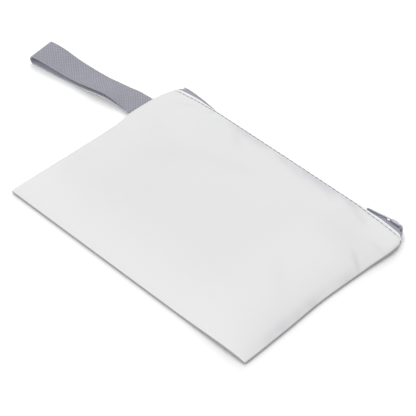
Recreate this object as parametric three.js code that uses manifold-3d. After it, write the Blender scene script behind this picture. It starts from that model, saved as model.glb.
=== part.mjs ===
// A flat zipped document pouch of white polyester, lying on its back panel, with a coil zip along one
// long edge and a webbing wrist loop sewn into a short edge.
// Millimetres. +X runs along the zip towards its closed end, +Y from the long seam to the zip, +Z up.
// The origin is the middle of the pouch's underside.
import * as THREE from "three";
import { mergeVertices } from "three/addons/utils/BufferGeometryUtils.js";
import Module from "manifold-3d";

// Pouch
const LENGTH = 255; // short seam to short seam
const DEPTH = 178.4; // long seam to the line of the mouth
const CLOTH = 1; // wall of both panels
const GAP = 0.25; // clearance between layers that are sewn together
const CROWN = 9.6; // height of the top panel over the middle
const MOUTH_HEIGHT = 10.8; // height of the stitched edge at the middle of the mouth
const SEAM_FLAT = 2.5; // width of the flat border along the three seams
const SWELL_REACH = 58; // how far in from a seam the top panel is still rising
const MOUTH_REACH = 60; // how far in from the mouth the top panel leaves its crown height
const CORNER = 1.5; // rounding of the two corners on the long seam
const RIM = 2; // hem between the stitch line and the folded edge
const RIM_TILT = THREE.MathUtils.degToRad(66); // how far the hem hangs down at mid mouth

// Zip
const TAPE = 1; // thickness of the zip tape
const TAPE_TUCK = 6.5; // tape hidden under the hem, in from the stitch line
const TAPE_EASE = 0.1; // more room where a tape follows a curved hem
const COIL_WIDTH = 4.5;
const COIL_THICK = 1.4;
const COIL_GAP = 0.28; // coil to tape
const TAPE_MEET = 0.15; // half of the slit between the two tapes
const BEND_UP = 2.9; // from the coil's centre line to the bend in the upper tape
const BEND_DOWN = 2.3; // the same for the lower tape
const TAPE_INSET = 1; // from the short edges to the tapes' ends
const COIL_INSET = 2.5; // from the left edge to the coil's end

// Slider and pull
const SLIDER_LENGTH = 13.4;
const SLIDER_WIDTH = 7.8;
const SLIDER_PLATE = 0.9;
const SLIDER_INSET = 8.9; // from the right edge's line to the slider's front end
const SLIDER_LEAD = 9; // length over which the zip eases into its place at the slider
const SLIDER_GAP = 0.3; // slider to coil and to tape
const LIP = 1.1; // how far the side lips fold over the coil
const LIP_WALL = 0.7;
const POST_LENGTH = 2;
const POST_WIDTH = 1.1;
const BAIL_LENGTH = 6.2;
const BAIL_WIDTH = 1.7;
const BAIL_WALL = 0.8;
const BAIL_ROOM = 2.2; // clear height under the bail
const BAIL_INSET = 0.3; // from the slider's back end to the bail
const PULL_LENGTH = 24;
const PULL_WIDTH = 4;
const PULL_THICK = 1;
const PULL_BAR = 1.2; // bar of the pull that runs under the bail
const PULL_EYE = 5.6; // length of the window that clears the bail
const PLAY = 0.3; // pull to bail

// Wrist loop
const WEB_WIDTH = 25;
const WEB = 1.2; // thickness of the webbing
const LOOP_REACH = 110.5; // seam to the far end of the loop
const LOOP_HEIGHT = 9; // outer height of the loop at its far end
const LOOP_INSET = 37.2; // from the line of the mouth to the loop's centre line at the seam
const LOOP_TUCK = 8; // webbing caught inside the seam

const HALF = LENGTH / 2;
const MID = DEPTH / 2;
const LOOP_ROOT = MID - LOOP_INSET;
const SLIDER_NOSE = HALF - SLIDER_INSET;
const SLIDER_BACK = SLIDER_NOSE - SLIDER_LENGTH;
const SEAM_STACK = 2 * CLOTH + GAP;
const ZIP_STACK = 2 * CLOTH + 2 * TAPE + 3 * GAP + TAPE_EASE;
const LOOP_STACK = 2 * CLOTH + 2 * WEB + 3 * GAP;

// The short edges. y is a share of half the depth, left and right are shares of half the length.
const SIDES = [
  { y: -1.0, left: 1.008, right: 1.008 },
  { y: -0.88, left: 1.007, right: 1.006 },
  { y: -0.5, left: 1.005, right: 0.996 },
  { y: 0.0, left: 1.002, right: 0.98 },
  { y: 0.5, left: 1.007, right: 0.989 },
  { y: 0.8, left: 1.001, right: 1.001 },
  { y: 0.89, left: 0.988, right: 0.997 },
  { y: 0.94, left: 0.979, right: 0.979 },
  { y: 1.0, left: 0.97, right: 0.962 },
  { y: 1.07, left: 0.95, right: 0.948 },
];

// The mouth, from the left end of the zip to the right.
// across: share of half the mouth. edge, under and face: Y of the upper folded edge, of the lower folded
// edge and of the tapes' outer face, shares of half the depth. rise: from the flat stack (0) to the open
// height (1). tilt: hang of the upper hem, share of its full tilt. lift: coil's centre, share of its width.
const MOUTH = [
  { across: -1.0, edge: 0.966, rise: 0.0, tilt: 0.0, face: 1.01, lift: 0.6, under: 0.966 },
  { across: -0.98, edge: 0.976, rise: 0.02, tilt: 0.0, face: 1.025, lift: 0.6, under: 0.972 },
  { across: -0.94, edge: 0.986, rise: 0.09, tilt: 0.06, face: 1.032, lift: 0.58, under: 0.98 },
  { across: -0.83, edge: 0.989, rise: 0.38, tilt: 0.34, face: 1.024, lift: 0.62, under: 0.972 },
  { across: -0.7, edge: 0.974, rise: 0.74, tilt: 0.72, face: 1.004, lift: 0.64, under: 0.952 },
  { across: -0.56, edge: 0.962, rise: 0.97, tilt: 0.98, face: 0.979, lift: 0.58, under: 0.932 },
  { across: -0.3, edge: 0.961, rise: 1.0, tilt: 1.0, face: 0.976, lift: 0.58, under: 0.928 },
  { across: 0.3, edge: 0.961, rise: 1.0, tilt: 1.0, face: 0.976, lift: 0.58, under: 0.928 },
  { across: 0.54, edge: 0.962, rise: 0.97, tilt: 0.96, face: 0.978, lift: 0.58, under: 0.932 },
  { across: 0.67, edge: 0.97, rise: 0.68, tilt: 0.6, face: 0.989, lift: 0.66, under: 0.946 },
  { across: 0.77, edge: 0.97, rise: 0.4, tilt: 0.16, face: 1.006, lift: 0.8, under: 0.956 },
  { across: 0.85, edge: 0.965, rise: 0.3, tilt: 0.02, face: 1.022, lift: 0.87, under: 0.962 },
  { across: 0.98, edge: 0.956, rise: 0.12, tilt: 0.0, face: 1.022, lift: 0.87, under: 0.954 },
  { across: 1.0, edge: 0.954, rise: 0.0, tilt: 0.0, face: 1.014, lift: 0.78, under: 0.952 },
];

// The wrist loop. out: from the seam (0) to the loop's far end (1). side: sideways drift, share of its width.
// The heights are shares of the loop's height: the underside of the lower layer and the top of the upper
// layer, each at the near and the far edge.
const LOOP = [
  { out: 0.11, side: -0.02, nearLow: 0.2, farLow: 0.06, nearTop: 0.6, farTop: 0.38 },
  { out: 0.2, side: -0.07, nearLow: 0.34, farLow: 0.0, nearTop: 0.88, farTop: 0.3 },
  { out: 0.3, side: -0.14, nearLow: 0.41, farLow: 0.0, nearTop: 1.04, farTop: 0.3 },
  { out: 0.39, side: -0.21, nearLow: 0.32, farLow: 0.0, nearTop: 0.98, farTop: 0.3 },
  { out: 0.49, side: -0.26, nearLow: 0.17, farLow: 0.0, nearTop: 0.82, farTop: 0.31 },
  { out: 0.61, side: -0.31, nearLow: 0.05, farLow: 0.0, nearTop: 0.74, farTop: 0.38 },
  { out: 0.72, side: -0.37, nearLow: 0.0, farLow: 0.0, nearTop: 0.82, farTop: 0.56 },
  { out: 0.83, side: -0.43, nearLow: 0.0, farLow: 0.0, nearTop: 0.95, farTop: 0.86 },
  { out: 0.9, side: -0.47, nearLow: 0.0, farLow: 0.0, nearTop: 0.99, farTop: 0.96 },
];

const lerp = THREE.MathUtils.lerp;
const ease = THREE.MathUtils.smoothstep;

// Value of a table's column at a place, through its rows on a smooth curve that doesn't overshoot them.
function follow(table, key, column, at) {
  const last = table.length - 1;
  let i = 0;
  while (i < last - 1 && at > table[i + 1][key]) i++;
  const slope = (j) =>
    (table[j + 1][column] - table[j][column]) / (table[j + 1][key] - table[j][key]);
  const tangent = (j) => {
    if (j === 0) return slope(0);
    if (j === last) return slope(last - 1);
    const [before, after] = [slope(j - 1), slope(j)];
    return before * after <= 0 ? 0 : (2 * before * after) / (before + after);
  };
  const span = table[i + 1][key] - table[i][key];
  const t = THREE.MathUtils.clamp((at - table[i][key]) / span, 0, 1);
  const [a, b] = [table[i][column], table[i + 1][column]];
  const rising = t * t * (3 - 2 * t);
  const first = t * (1 - t) * (1 - t) * span * tangent(i);
  const second = t * t * (t - 1) * span * tangent(i + 1);
  return lerp(a, b, rising) + first + second;
}

// X at a depth y, by its share across: -1 is the left short edge and 1 the right one.
function acrossX(across, y) {
  return across * HALF * follow(SIDES, "y", across < 0 ? "left" : "right", y / MID);
}

// Y of the long seam, with its two corners rounded.
function seamY(share) {
  const into = Math.max(0, Math.abs(share) * HALF - (HALF - CORNER)) / CORNER;
  return -MID + CORNER * (1 - Math.sqrt(1 - Math.min(1, into) ** 2));
}

// The mouth's sizes at a place along the zip.
function mouthAt(across) {
  const read = (column) => follow(MOUTH, "across", column, across);
  const tilt = RIM_TILT * read("tilt");
  const half = RIM / 2;
  const edgeY = MID * read("edge");
  const stitch = new THREE.Vector2(
    edgeY - half * (Math.cos(0.6 * tilt) + Math.cos(tilt)),
    lerp(ZIP_STACK, MOUTH_HEIGHT, read("rise")),
  );
  const fold = stitch.clone().add(down(0.6 * tilt, half));
  const edge = fold.clone().add(down(tilt, half));
  // The zip runs straight through the slider.
  const seat = (SLIDER_NOSE - SLIDER_LENGTH / 2) / HALF;
  const x = across * HALF;
  const before = ease(x, SLIDER_BACK - SLIDER_LEAD, SLIDER_BACK - SLIDER_LEAD / 3);
  const held = before * (1 - ease(x, SLIDER_NOSE + SLIDER_LEAD / 3, SLIDER_NOSE + SLIDER_LEAD));
  const kept = (column) => lerp(read(column), follow(MOUTH, "across", column, seat), held);
  const faceY = MID * kept("face");
  const coilZ = COIL_WIDTH * kept("lift");
  return { tilt, stitch, fold, edge, faceY, coilZ, underY: MID * read("under") };
}

// A step of a given length in the YZ plane, outwards and turned down by an angle.
function down(angle, length) {
  return new THREE.Vector2(length * Math.cos(angle), -length * Math.sin(angle));
}

// Height of the stacked layers at the short seams, where the loop and the zip are caught.
function stackHeight(side, y) {
  const zip = ease(y, 0.74 * MID, 0.86 * MID);
  const near = LOOP_ROOT - WEB_WIDTH / 2;
  const loop = ease(y, near - 0.6 * WEB_WIDTH, near - 0.15 * WEB_WIDTH);
  const plain = lerp(SEAM_STACK, ZIP_STACK, zip);
  return side < 0 ? lerp(plain, lerp(LOOP_STACK, ZIP_STACK, zip), loop) : plain;
}

// Rise of the top panel at a distance in from a seam, from 0 at the seam to 1.
function swell(distance) {
  const t = THREE.MathUtils.clamp((distance - SEAM_FLAT) / SWELL_REACH, 0, 1);
  return 1 - (1 - t) ** 3;
}

// A point of the top panel's outer face. across runs from -1 to 1, up from 0 at the seam to 1 at the stitches.
function topPoint(across, up) {
  const side = across < 0 ? -1 : 1;
  const mouth = mouthAt(across);
  const y = lerp(seamY(across), mouth.stitch.x, up);
  const x = acrossX(across, y);
  const inX = swell(Math.abs(acrossX(side, y) - x));
  const crown = lerp(SEAM_STACK, CROWN, swell(y + MID));
  const stack = stackHeight(side, y);
  const body = lerp(stack, crown, inX);
  const open = ease(y, mouth.stitch.x - MOUTH_REACH, mouth.stitch.x);
  return new THREE.Vector3(x, y, lerp(body, Math.max(stack, mouth.stitch.y), open));
}

// Places across the pouch from -1 to 1, closer together near both ends.
const STATIONS = 34;
const COLUMNS = Array.from({ length: STATIONS + 1 }, (_, i) => {
  const t = (2 * i) / STATIONS - 1;
  return 0.45 * t + 0.55 * Math.sin((t * Math.PI) / 2);
});

// A closed solid between an outer grid of points and the same grid moved in by a thickness.
function sheetSolid(grid, thickness) {
  const rows = grid.length;
  const columns = grid[0].length;
  const at = (r, c) =>
    grid[THREE.MathUtils.clamp(r, 0, rows - 1)][THREE.MathUtils.clamp(c, 0, columns - 1)];
  const inner = grid.map((row, r) =>
    row.map((point, c) => {
      const along = at(r, c + 1).clone().sub(at(r, c - 1));
      const upwards = at(r + 1, c).clone().sub(at(r - 1, c));
      return point.clone().addScaledVector(along.cross(upwards).normalize(), -thickness);
    }),
  );
  const faces = [];
  const quad = (a, b, c, d) => faces.push(a, b, c, a, c, d);
  for (let r = 0; r < rows - 1; r++)
    for (let c = 0; c < columns - 1; c++) {
      quad(grid[r][c], grid[r][c + 1], grid[r + 1][c + 1], grid[r + 1][c]);
      quad(inner[r][c], inner[r + 1][c], inner[r + 1][c + 1], inner[r][c + 1]);
    }
  for (let c = 0; c < columns - 1; c++) {
    quad(grid[0][c], inner[0][c], inner[0][c + 1], grid[0][c + 1]);
    const far = rows - 1;
    quad(grid[far][c], grid[far][c + 1], inner[far][c + 1], inner[far][c]);
  }
  for (let r = 0; r < rows - 1; r++) {
    quad(grid[r][0], grid[r + 1][0], inner[r + 1][0], inner[r][0]);
    const far = columns - 1;
    quad(grid[r][far], inner[r][far], inner[r + 1][far], grid[r + 1][far]);
  }
  return facesGeometry(faces);
}

// A closed solid through rings of points, each ring turning the same way seen from the first to the last.
function loft(rings) {
  const faces = [];
  const count = rings[0].length;
  for (let i = 0; i < rings.length - 1; i++)
    for (let j = 0; j < count; j++) {
      const [a, b] = [rings[i][j], rings[i][(j + 1) % count]];
      const [c, d] = [rings[i + 1][(j + 1) % count], rings[i + 1][j]];
      faces.push(a, b, c, a, c, d);
    }
  const cap = (ring, flip) => {
    const flat = ring.map((p) => new THREE.Vector2(p.y, p.z));
    for (const corners of THREE.ShapeUtils.triangulateShape(flat, [])) {
      const [a, b, c] = corners.sort((i, j) => i - j);
      faces.push(ring[a], ring[flip ? c : b], ring[flip ? b : c]);
    }
  };
  cap(rings[0], true);
  cap(rings[rings.length - 1], false);
  return facesGeometry(faces);
}

function facesGeometry(points) {
  const geometry = new THREE.BufferGeometry().setFromPoints(points);
  geometry.computeVertexNormals();
  return geometry;
}

// A ring round a path in the YZ plane: the path itself, and back along it a thickness to its left.
function strip(path, thickness) {
  const normal = (a, b) => new THREE.Vector2(-(b.y - a.y), b.x - a.x).normalize();
  const inside = path.map((point, i) => {
    const before = normal(path[Math.max(0, i - 1)], path[Math.max(1, i)]);
    const after = normal(path[Math.min(i, path.length - 2)], path[Math.min(i + 1, path.length - 1)]);
    const mitre = before.clone().add(after).normalize();
    return point.clone().addScaledVector(mitre, thickness / mitre.dot(after));
  });
  return [...path, ...inside.reverse()];
}

const wasm = await Module();
wasm.setup();

// Joins overlapping closed geometries into one.
function fuse(...geometries) {
  const solids = geometries.map((geometry) => {
    const plain = new THREE.BufferGeometry();
    plain.setAttribute("position", (geometry.index ? geometry.toNonIndexed() : geometry).attributes.position);
    const merged = mergeVertices(plain, 1e-4);
    return new wasm.Manifold(
      new wasm.Mesh({
        numProp: 3,
        vertProperties: merged.attributes.position.array,
        triVerts: new Uint32Array(merged.index.array),
      }),
    );
  });
  const joined = solids.reduce((all, solid) => all.add(solid)).getMesh();
  const geometry = new THREE.BufferGeometry();
  const positions = new THREE.BufferAttribute(joined.vertProperties, 3);
  geometry.setAttribute("position", positions).setIndex(new THREE.BufferAttribute(joined.triVerts, 1));
  const flat = geometry.toNonIndexed();
  flat.computeVertexNormals();
  return flat;
}

// A point of the YZ plane, placed at its share across the pouch.
function onColumn(across, point) {
  return new THREE.Vector3(acrossX(across, point.x), point.x, point.y);
}

// Top panel: one sheet from the long seam over the crown to the hem of the mouth.
function topPanel() {
  const seam = [0, 0.014, 0.04, 0.08, 0.13, 0.2, 0.28, 0.37, 0.46, 0.55, 0.62];
  const root = [0.665, 0.69, 0.715, 0.75, 0.8, 0.86, 0.9, 0.93, 0.96, 0.985, 1];
  const grid = [...seam, ...root].map((up) => COLUMNS.map((across) => topPoint(across, up)));
  for (const place of ["fold", "edge"])
    grid.push(COLUMNS.map((across) => onColumn(across, mouthAt(across)[place])));
  return sheetSolid(grid, CLOTH);
}

// Back panel: flat on what it rests on, with the outline of the seams and of the lower hem.
function backPanel() {
  const shares = [0.04, 0.2, 0.36, 0.5, 0.64, 0.76, 0.86, 0.92, 0.96];
  const point = (across, y) => new THREE.Vector2(acrossX(across, y), y);
  const side = (across) =>
    shares.map((share) => point(across, lerp(seamY(across), mouthAt(across).underY, share)));
  const outline = [
    ...COLUMNS.map((across) => new THREE.Vector2(across * HALF, seamY(across))),
    ...side(1),
    ...COLUMNS.map((across) => point(across, mouthAt(across).underY)).reverse(),
    ...side(-1).reverse(),
  ];
  return new THREE.ExtrudeGeometry(new THREE.Shape(outline), { depth: CLOTH, bevelEnabled: false });
}

// The pouch's columns between two places along the zip, and those two places.
function zipColumns(from, to) {
  return [from, ...COLUMNS.filter((across) => across > from && across < to), to];
}

// Half the slit between the tapes, wider where the slider's post parts them.
function meeting(across) {
  const x = across * HALF;
  const parted = SLIDER_NOSE - 3 * POST_LENGTH;
  return lerp(TAPE_MEET, POST_WIDTH / 2 + GAP, ease(x, parted - 2 * POST_LENGTH, parted));
}

// Each tape lies under its panel's hem, crosses the bare margin and bends in behind the coil.
function upperTape() {
  const cover = CLOTH + GAP + TAPE_EASE;
  const end = 1 - TAPE_INSET / HALF;
  const rings = zipColumns(-end, end).map((across) => {
    const mouth = mouthAt(across);
    const under = (point, tilt) =>
      point.clone().addScaledVector(down(tilt + Math.PI / 2, 1), cover);
    const tucked = [1, 0.6, 0.25].map((share) => {
      const y = mouth.stitch.x - share * TAPE_TUCK;
      const up = (y + MID) / (mouth.stitch.x + MID);
      return new THREE.Vector2(y, topPoint(across, up).z - cover);
    });
    const path = [
      ...tucked,
      under(mouth.stitch, 0.3 * mouth.tilt),
      under(mouth.fold, 0.8 * mouth.tilt),
      under(mouth.edge, mouth.tilt),
      new THREE.Vector2(mouth.faceY, mouth.coilZ + BEND_UP),
      new THREE.Vector2(mouth.faceY, mouth.coilZ + meeting(across)),
    ];
    return strip(path.reverse(), TAPE).map((point) => onColumn(across, point));
  });
  return loft(rings);
}

function lowerTape() {
  const end = 1 - TAPE_INSET / HALF;
  const rings = zipColumns(-end, end).map((across) => {
    const mouth = mouthAt(across);
    const floor = CLOTH + GAP;
    const path = [
      new THREE.Vector2(mouth.underY - RIM - TAPE_TUCK, floor),
      new THREE.Vector2(mouth.underY + TAPE_EASE, floor),
      new THREE.Vector2(mouth.faceY, mouth.coilZ - BEND_DOWN),
      new THREE.Vector2(mouth.faceY, mouth.coilZ - meeting(across)),
    ];
    return strip(path, TAPE).map((point) => onColumn(across, point));
  });
  return loft(rings);
}

// The coil: one rounded bar outside the tapes, up to the slider's post.
function coil() {
  const section = [
    [0, -0.42],
    [0.5, -0.5],
    [0.86, -0.36],
    [1, -0.14],
    [1, 0.14],
    [0.86, 0.36],
    [0.5, 0.5],
    [0, 0.42],
  ];
  const end = (SLIDER_NOSE - 2 * POST_LENGTH - SLIDER_GAP) / acrossX(1, SEAT.faceY);
  return loft(
    zipColumns(COIL_INSET / HALF - 1, end).map((across) => {
      const mouth = mouthAt(across);
      const x = acrossX(across, mouth.faceY);
      return section.map(([out, up]) => {
        const y = mouth.faceY + COIL_GAP + out * COIL_THICK;
        return new THREE.Vector3(x, y, mouth.coilZ + up * COIL_WIDTH);
      });
    }),
  );
}

// Where the slider sits, and the bar that the pull turns on.
const SEAT = mouthAt((SLIDER_NOSE - SLIDER_LENGTH / 2) / HALF);
const PLATE_BEVEL = SLIDER_PLATE / 3;
const PLATE_IN = SEAT.faceY + COIL_GAP + COIL_THICK + SLIDER_GAP;
const PLATE_OUT = PLATE_IN + SLIDER_PLATE;
const PIVOT = new THREE.Vector3(
  SLIDER_BACK + BAIL_INSET + BAIL_WALL + PLAY + Math.hypot(PULL_BAR, PULL_THICK) / 2,
  PLATE_OUT + BAIL_ROOM / 2,
  SEAT.coilZ,
);

// The lean of the lying pull: down to the coil, or as far as the slider's bevelled back end lets it.
function pullTilt() {
  const over = PIVOT.x - SLIDER_BACK - PLATE_BEVEL;
  const above = PIVOT.y - PLATE_OUT;
  const room = Math.acos((PULL_THICK / 2 + GAP) / Math.hypot(over, above)) - Math.atan2(over, above);
  const leans = [0.4, 0.55, 0.7, 0.85, 1].map((share) => {
    const reach = share * PULL_LENGTH;
    const zip = mouthAt((PIVOT.x - reach) / acrossX(1, SEAT.faceY)).faceY + COIL_GAP + COIL_THICK;
    return Math.atan2(PIVOT.y - zip - GAP - PULL_THICK / 2, reach);
  });
  return Math.min(room, ...leans);
}

// A plate in the XZ plane, from its outline, between two values of Y.
function plateY(shape, fromY, toY, bevel = 0) {
  const geometry = new THREE.ExtrudeGeometry(shape, {
    depth: toY - fromY - 2 * bevel,
    bevelEnabled: bevel > 0,
    bevelSize: bevel,
    bevelOffset: -bevel,
    bevelThickness: bevel,
    bevelSegments: 1,
    curveSegments: 5,
  });
  return geometry.rotateX(Math.PI / 2).translate(0, toY - bevel, 0);
}

// A rounded rectangle in X and Z, by its lowest and highest corners.
function rounded(x0, z0, x1, z1, radius) {
  const shape = new THREE.Shape();
  shape.moveTo(x0 + radius, z0);
  shape.lineTo(x1 - radius, z0);
  shape.absarc(x1 - radius, z0 + radius, radius, -Math.PI / 2, 0);
  shape.lineTo(x1, z1 - radius);
  shape.absarc(x1 - radius, z1 - radius, radius, 0, Math.PI / 2);
  shape.lineTo(x0 + radius, z1);
  shape.absarc(x0 + radius, z1 - radius, radius, Math.PI / 2, Math.PI);
  shape.lineTo(x0, z0 + radius);
  shape.absarc(x0 + radius, z0 + radius, radius, Math.PI, 1.5 * Math.PI);
  return shape;
}

function block(x0, y0, z0, x1, y1, z1) {
  const box = new THREE.BoxGeometry(x1 - x0, y1 - y0, z1 - z0);
  return box.translate((x0 + x1) / 2, (y0 + y1) / 2, (z0 + z1) / 2);
}

// Slider: an outer plate with side lips, a post through the parted tapes, an inner plate and a bail.
function slider() {
  const z = SEAT.coilZ;
  const half = SLIDER_WIDTH / 2;
  const plate = plateY(
    rounded(SLIDER_BACK, z - half, SLIDER_NOSE, z + half, 0.28 * SLIDER_WIDTH),
    PLATE_IN,
    PLATE_OUT,
    PLATE_BEVEL,
  );
  const lips = [-1, 1].map((side) => {
    const outer = z + side * half;
    const inner = z + side * (half - LIP_WALL);
    const inset = 0.25 * SLIDER_LENGTH;
    return block(
      SLIDER_BACK + inset,
      PLATE_IN - LIP,
      Math.min(inner, outer),
      SLIDER_NOSE - inset,
      PLATE_IN + SLIDER_PLATE / 2,
      Math.max(inner, outer),
    );
  });
  const postBack = SLIDER_NOSE - 2 * POST_LENGTH;
  const innerOut = SEAT.faceY - TAPE - SLIDER_GAP;
  const post = block(
    postBack,
    innerOut - SLIDER_PLATE / 2,
    z - POST_WIDTH / 2,
    postBack + POST_LENGTH,
    PLATE_IN + SLIDER_PLATE / 2,
    z + POST_WIDTH / 2,
  );
  const inside = block(
    SLIDER_BACK + BAIL_INSET,
    innerOut - SLIDER_PLATE,
    z - POST_WIDTH / 2,
    postBack + POST_LENGTH,
    innerOut,
    z + POST_WIDTH / 2,
  );
  return fuse(plate, ...lips, post, inside, bail());
}

// The bail: an arch along the slider that holds the pull's bar.
function bail() {
  const x0 = SLIDER_BACK + BAIL_INSET;
  const x1 = x0 + BAIL_LENGTH;
  const foot = PLATE_OUT - SLIDER_PLATE / 2;
  const top = PLATE_OUT + BAIL_ROOM + BAIL_WALL;
  const radius = 0.8 * BAIL_WALL;
  const arch = new THREE.Shape();
  arch.moveTo(x0, foot);
  arch.lineTo(x1, foot);
  arch.lineTo(x1, top - radius);
  arch.absarc(x1 - radius, top - radius, radius, 0, Math.PI / 2);
  arch.lineTo(x0 + radius, top);
  arch.absarc(x0 + radius, top - radius, radius, Math.PI / 2, Math.PI);
  arch.closePath();
  const room = new THREE.Path();
  room.moveTo(x0 + BAIL_WALL, PLATE_OUT);
  room.lineTo(x0 + BAIL_WALL, PLATE_OUT + BAIL_ROOM);
  room.lineTo(x1 - BAIL_WALL, PLATE_OUT + BAIL_ROOM);
  room.lineTo(x1 - BAIL_WALL, PLATE_OUT);
  room.closePath();
  arch.holes.push(room);
  const solid = new THREE.ExtrudeGeometry(arch, { depth: BAIL_WIDTH, bevelEnabled: false, curveSegments: 4 });
  return solid.translate(0, 0, SEAT.coilZ - BAIL_WIDTH / 2);
}

// Pull: a thin tab with a window at one end, in its own frame with its bar on the Z axis.
function pull() {
  const half = PULL_WIDTH / 2;
  const tab = rounded(-PULL_BAR / 2, -half, PULL_LENGTH, half, 0.3 * PULL_WIDTH);
  const eye = BAIL_WIDTH / 2 + PLAY;
  const hole = new THREE.Path();
  hole.moveTo(PULL_BAR / 2, -eye);
  hole.lineTo(PULL_BAR / 2, eye);
  hole.lineTo(PULL_EYE, eye);
  hole.lineTo(PULL_EYE, -eye);
  hole.closePath();
  tab.holes.push(hole);
  return plateY(tab, -PULL_THICK / 2, PULL_THICK / 2, 0.2 * PULL_THICK);
}

// One place along the loop: its centre line in plan and the heights of both layers at both edges.
const LOOP_ROWS = [
  {
    out: 0,
    side: 0,
    nearLow: (CLOTH + GAP) / LOOP_HEIGHT,
    farLow: (CLOTH + GAP) / LOOP_HEIGHT,
    nearTop: (CLOTH + 2 * GAP + 2 * WEB) / LOOP_HEIGHT,
    farTop: (CLOTH + 2 * GAP + 2 * WEB) / LOOP_HEIGHT,
  },
  ...LOOP,
  { out: 1, side: -0.53, nearLow: 0, farLow: 0, nearTop: 1, farTop: 1 },
];

// Wrist loop: one band of webbing, out along the lower layer, round the end and back along the upper one.
function wristLoop() {
  const seamX = acrossX(-1, LOOP_ROOT) - 4 * GAP;
  const read = (column, out) => follow(LOOP_ROWS, "out", column, Math.max(0, out));
  const centre = (out) =>
    new THREE.Vector2(seamX - out * LOOP_REACH, LOOP_ROOT + WEB_WIDTH * read("side", out));
  const heading = (out) => centre(out + 0.01).sub(centre(out - 0.01)).normalize();
  const turn = (LOOP_HEIGHT / 2) / LOOP_REACH;
  const edgeHeight = (out, layer, edge) =>
    LOOP_HEIGHT * read(edge + (layer < 0 ? "Low" : "Top"), out) - (layer < 0 ? 0 : WEB);
  // A cross-section of one layer: its two edges, bottom and top.
  const section = (out, layer) => {
    const middle = centre(out);
    const way = out < 0 ? new THREE.Vector2(-1, 0) : heading(out);
    const drop = edgeHeight(out, layer, "near") - edgeHeight(out, layer, "far");
    const reach = Math.sqrt((WEB_WIDTH / 2) ** 2 - (drop / 2) ** 2);
    return ["near", "far"].map((edge) => {
      const sideways = edge === "near" ? 1 : -1;
      const x = middle.x - sideways * reach * way.y;
      const y = middle.y + sideways * reach * way.x;
      const bottom = edgeHeight(out, layer, edge);
      return [new THREE.Vector3(x, y, bottom), new THREE.Vector3(x, y, bottom + WEB)];
    });
  };
  const straight = [];
  const tuck = LOOP_TUCK / LOOP_REACH;
  for (let out = -tuck; out < 0; out += tuck / 2) straight.push(out);
  const steps = 26;
  for (let i = 0; i <= steps; i++) straight.push(((1 - turn) * i) / steps);
  const rings = straight.map((out) => {
    const [[nearBottom, nearTop], [farBottom, farTop]] = section(out, -1);
    return [nearBottom, nearTop, farTop, farBottom];
  });
  const [[nearFoot], [farFoot]] = section(1 - turn, -1);
  const ahead = heading(1 - turn);
  const roundEnd = (foot, radius, angle) =>
    new THREE.Vector3(
      foot.x + ahead.x * radius * Math.sin(angle),
      foot.y + ahead.y * radius * Math.sin(angle),
      foot.z + LOOP_HEIGHT / 2 - radius * Math.cos(angle),
    );
  const bends = 10;
  for (let i = 1; i < bends; i++) {
    const angle = (Math.PI * i) / bends;
    const outer = LOOP_HEIGHT / 2;
    rings.push([
      roundEnd(nearFoot, outer, angle),
      roundEnd(nearFoot, outer - WEB, angle),
      roundEnd(farFoot, outer - WEB, angle),
      roundEnd(farFoot, outer, angle),
    ]);
  }
  for (const out of [...straight].reverse()) {
    const [[nearBottom, nearTop], [farBottom, farTop]] = section(out, 1);
    rings.push([nearTop, nearBottom, farBottom, farTop]);
  }
  return loft(rings);
}

const whiteCloth = new THREE.MeshStandardMaterial({ color: 0xe6e6e6, roughness: 0.55, metalness: 0 });
const greyTape = new THREE.MeshStandardMaterial({ color: 0xa4a4b0, roughness: 0.85, metalness: 0 });
const greyCoil = new THREE.MeshStandardMaterial({ color: 0x94949f, roughness: 0.5, metalness: 0 });
const greyWebbing = new THREE.MeshStandardMaterial({ color: 0xa5a5b2, roughness: 0.9, metalness: 0 });
const greyEnamel = new THREE.MeshStandardMaterial({ color: 0x9a9aa8, roughness: 0.35, metalness: 0.2 });

const pouch = new THREE.Group();

function add(name, geometry, material) {
  const mesh = new THREE.Mesh(geometry, material);
  mesh.name = name;
  pouch.add(mesh);
  return mesh;
}

add("top_panel", topPanel(), whiteCloth);
add("back_panel", backPanel(), whiteCloth);
add("zip_tape_upper", upperTape(), greyTape);
add("zip_tape_lower", lowerTape(), greyTape);
add("zip_coil", coil(), greyCoil);
add("slider_body", slider(), greyEnamel);
add("wrist_loop", wristLoop(), greyWebbing);
const pullTab = add("pull_tab", pull(), greyEnamel);
pullTab.position.copy(PIVOT);
pullTab.rotation.z = Math.PI + pullTilt();

export default pouch;
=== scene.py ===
import functools
import math

import bmesh
import bpy
from mathutils import Euler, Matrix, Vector, noise


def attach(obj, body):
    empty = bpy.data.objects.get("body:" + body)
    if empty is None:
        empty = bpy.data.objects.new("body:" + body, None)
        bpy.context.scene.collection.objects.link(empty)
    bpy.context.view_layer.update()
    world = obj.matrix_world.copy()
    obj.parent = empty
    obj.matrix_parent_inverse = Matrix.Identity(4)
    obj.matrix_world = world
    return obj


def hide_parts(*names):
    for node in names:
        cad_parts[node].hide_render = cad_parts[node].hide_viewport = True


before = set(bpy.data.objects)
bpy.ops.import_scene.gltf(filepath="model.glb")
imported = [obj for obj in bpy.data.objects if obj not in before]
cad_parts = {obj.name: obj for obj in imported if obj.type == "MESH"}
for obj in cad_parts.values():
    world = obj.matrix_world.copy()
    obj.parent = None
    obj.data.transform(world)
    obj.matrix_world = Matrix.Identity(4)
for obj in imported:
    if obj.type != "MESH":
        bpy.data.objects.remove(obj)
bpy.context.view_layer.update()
MM = 0.001

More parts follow.
